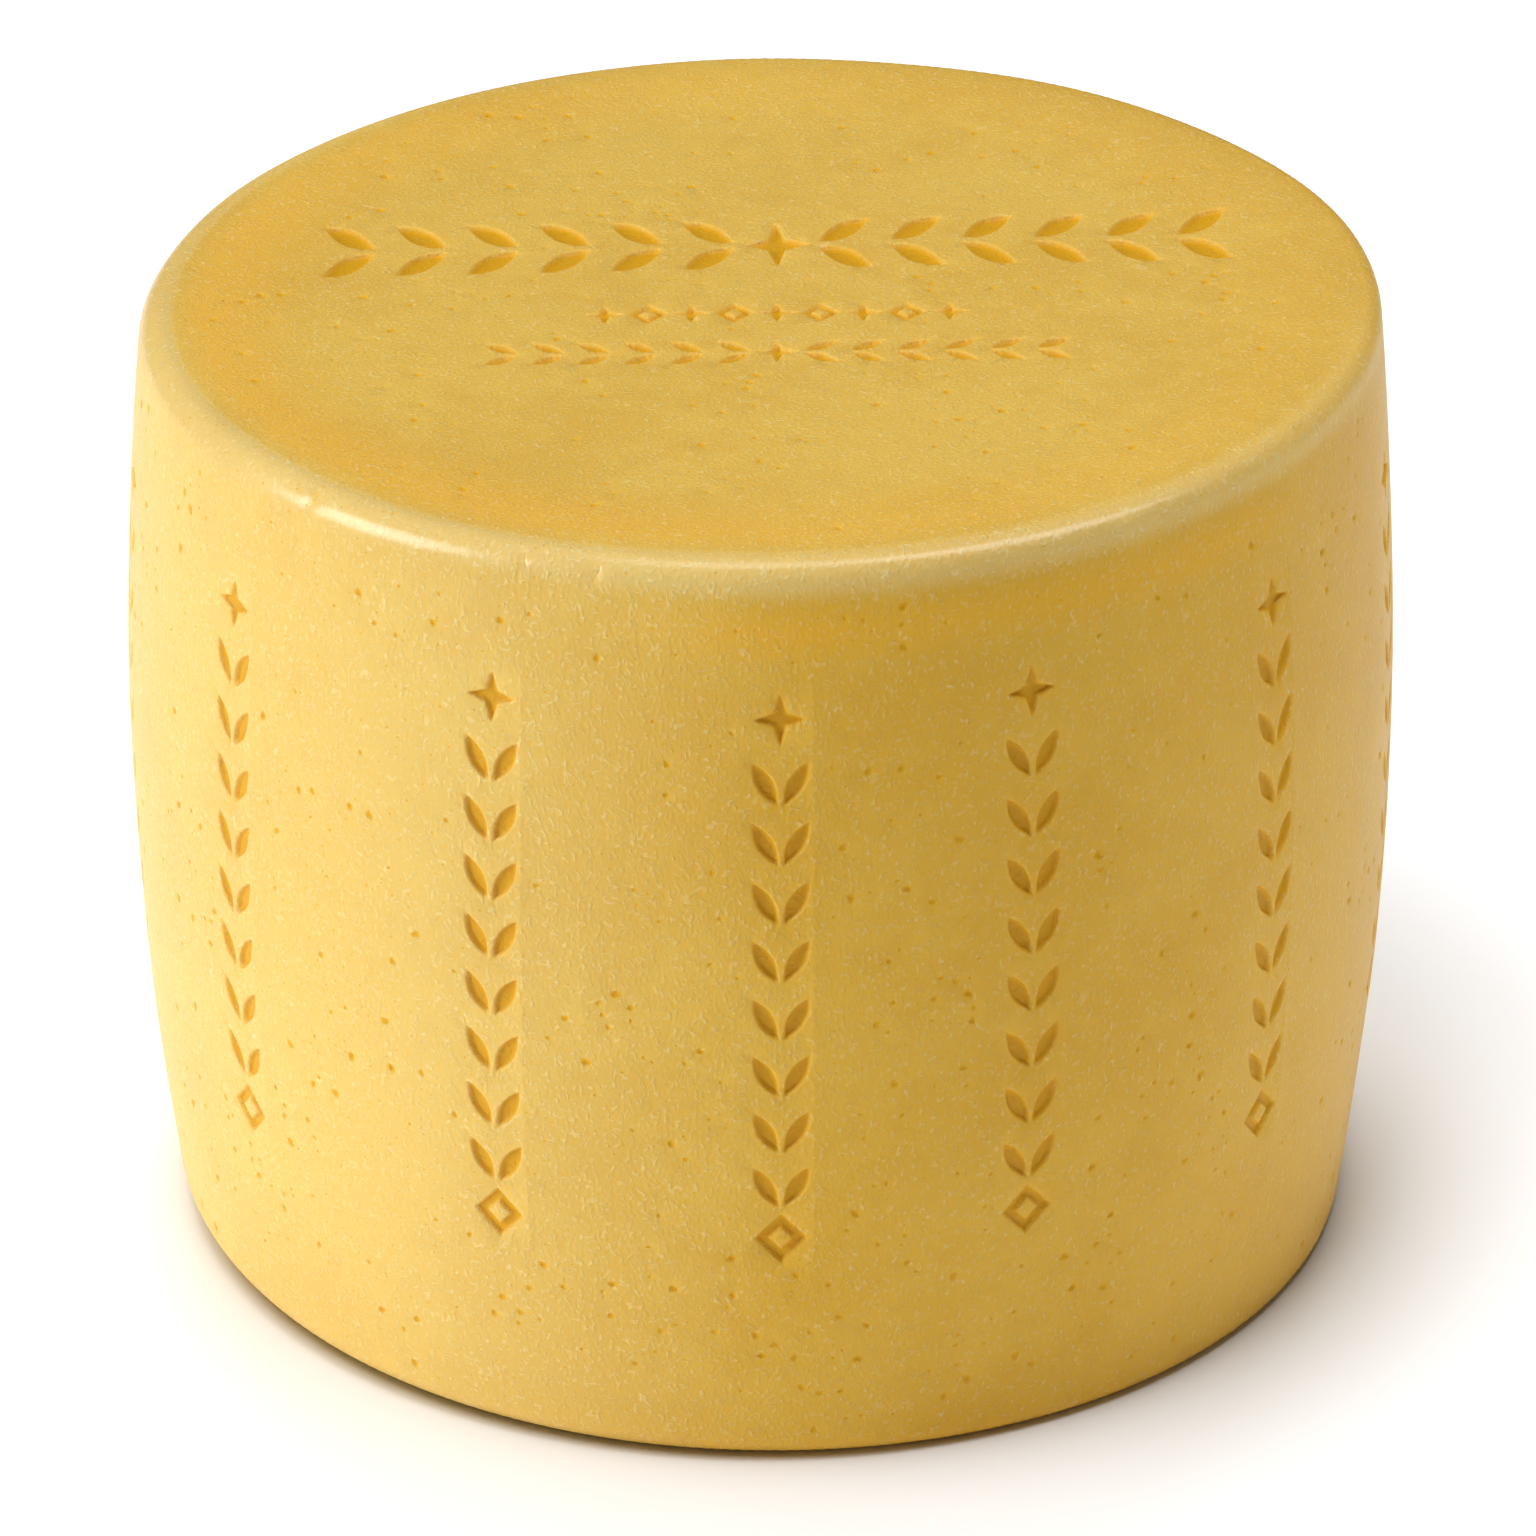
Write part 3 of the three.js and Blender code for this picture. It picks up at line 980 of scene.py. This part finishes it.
def floor_material():
    """Matt white board."""
    shader = Shader("floor")
    surface = shader.node("ShaderNodeBsdfDiffuse", None, {"Color": (0.94, 0.955, 0.98, 1)})
    shader.node("ShaderNodeOutputMaterial", None, {"Surface": surface})
    return shader.material


# Operators and panel

class CHEESE_OT_wheel(bpy.types.Operator):
    """Makes the wheel with its marks, pits and rind"""

    bl_idname = "cheese.wheel"
    bl_label = "Make Wheel"

    def execute(self, context):
        scene = context.scene
        wheel = mesh_object("rind", *wheel_mesh(scene.wheel_shape, scene.mark_shape))
        wheel.data.materials.append(rind_material(scene.rind_finish))
        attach(wheel, "root")
        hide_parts(NODE)
        return {"FINISHED"}


class CHEESE_OT_stage(bpy.types.Operator):
    """Makes the floor, the lights and the camera"""

    bl_idname = "cheese.stage"
    bl_label = "Make Stage"

    def execute(self, context):
        scene = context.scene
        settings = scene.stage_settings
        floor = make_floor()
        make_surround(settings)
        make_lights(settings, floor)
        scene.camera = make_camera(settings, scene.wheel_shape)
        scene.view_settings.view_transform = "Standard"
        return {"FINISHED"}


FLOOR_HALF = 14
FLOOR_DROP = 0.3 * MM


def make_floor():
    """A square floor about the wheel, wide enough to fill the photo's view, and a hair under the base."""
    corners = np.array([[-1, -1, 0], [1, -1, 0], [1, 1, 0], [-1, 1, 0]]) * FLOOR_HALF
    floor = mesh_object("floor", corners, np.array([[0, 1, 2], [0, 2, 3]]), {})
    floor.location.z = -FLOOR_DROP
    floor.data.materials.append(floor_material())
    return floor


def make_surround(settings):
    """An even, dim white all round."""
    world = bpy.data.worlds.new("surround")
    world.use_nodes = True
    background = world.node_tree.nodes["Background"]
    background.inputs["Color"].default_value = (1, 1, 1, 1)
    background.inputs["Strength"].default_value = settings.sky
    bpy.context.scene.world = world


LIGHT_DISTANCE = 2.7
LIGHT_AIM = Vector((0, 0, 0.14))
# Each light's name, azimuth and elevation in degrees, width, and its link to the floor
LIGHTS = (
    ("key", 73, 21, 1.7, "EXCLUDE"),
    ("high", 0, 88, 1.5, "EXCLUDE"),
    ("fill", -90, 66, 1.5, "EXCLUDE"),
    ("wash", 0, 88, 1.8, "INCLUDE"),
    ("left_wash", 45, 65, 1.8, "INCLUDE"),
    ("back_wash", 180, 60, 1.8, "INCLUDE"),
)


def soft_light(name, azimuth, elevation, size, power):
    """A round soft light aimed at the wheel's middle. Its azimuth runs from the front to the left, in
    degrees."""
    turn, rise = math.radians(azimuth), math.radians(elevation)
    away = Vector((-math.cos(rise) * math.sin(turn), -math.cos(rise) * math.cos(turn), math.sin(rise)))
    lamp = bpy.data.lights.new(name, "AREA")
    lamp.shape = "DISK"
    lamp.size = size
    lamp.energy = power
    light = bpy.data.objects.new(name, lamp)
    light.location = LIGHT_AIM + LIGHT_DISTANCE * away
    light.rotation_euler = (-away).to_track_quat("-Z", "Y").to_euler()
    bpy.context.scene.collection.objects.link(light)
    return light


def make_lights(settings, floor):
    """Three lights that leave the floor out, and three washes for the floor alone."""
    for name, azimuth, elevation, size, link in LIGHTS:
        light = soft_light(name, azimuth, elevation, size, getattr(settings, name))
        lit = bpy.data.collections.new(light.name + "_floor")
        lit.objects.link(floor)
        lit.collection_objects[0].light_linking.link_state = link
        light.light_linking.receiver_collection = lit


def make_camera(settings, shape):
    """The camera on the front's arc at its elevation, then turned by its yaw, pitch and roll."""
    target = Vector((0, 0, shape.height / 2))
    back = Vector((0, -math.cos(settings.elevation), math.sin(settings.elevation)))
    right = Vector((1, 0, 0))
    up = back.cross(right)
    turn = Matrix((right, up, back)).transposed()
    turn = Matrix.Rotation(settings.yaw, 3, up) @ turn
    turn = Matrix.Rotation(settings.pitch, 3, turn.col[0]) @ turn
    turn = Matrix.Rotation(settings.roll, 3, -turn.col[2]) @ turn
    lens = bpy.data.cameras.new("camera")
    lens.sensor_width = 36
    lens.lens = settings.lens
    camera = bpy.data.objects.new("camera", lens)
    camera.matrix_world = Matrix.Translation(target + back * settings.distance) @ turn.to_4x4()
    bpy.context.scene.collection.objects.link(camera)
    return camera


class CHEESE_PT_panel(bpy.types.Panel):
    """The wheel's settings and the buttons that make it"""

    bl_label = "Cheese Wheel"
    bl_idname = "CHEESE_PT_panel"
    bl_space_type = "VIEW_3D"
    bl_region_type = "UI"
    bl_category = "Cheese"

    def draw(self, context):
        for group in ("wheel_shape", "mark_shape", "rind_finish"):
            self.draw_group(context.scene, group)
        self.layout.operator("cheese.wheel")
        self.draw_group(context.scene, "stage_settings")
        self.layout.operator("cheese.stage")

    def draw_group(self, scene, group):
        settings = getattr(scene, group)
        column = self.layout.column()
        for key in settings.__annotations__:
            column.prop(settings, key)


GROUPS = {
    "wheel_shape": WheelShape,
    "mark_shape": MarkShape,
    "rind_finish": RindFinish,
    "stage_settings": StageSettings,
}
CLASSES = (*GROUPS.values(), CHEESE_OT_wheel, CHEESE_OT_stage, CHEESE_PT_panel)


def register():
    for cls in CLASSES:
        bpy.utils.register_class(cls)
    for name, group in GROUPS.items():
        setattr(bpy.types.Scene, name, PointerProperty(type=group))


def unregister():
    for name in GROUPS:
        delattr(bpy.types.Scene, name)
    for cls in reversed(CLASSES):
        bpy.utils.unregister_class(cls)


def main():
    register()
    bpy.ops.cheese.stage()
    bpy.ops.cheese.wheel()
    bpy.context.view_layer.update()


if __name__ == "__main__":
    main()
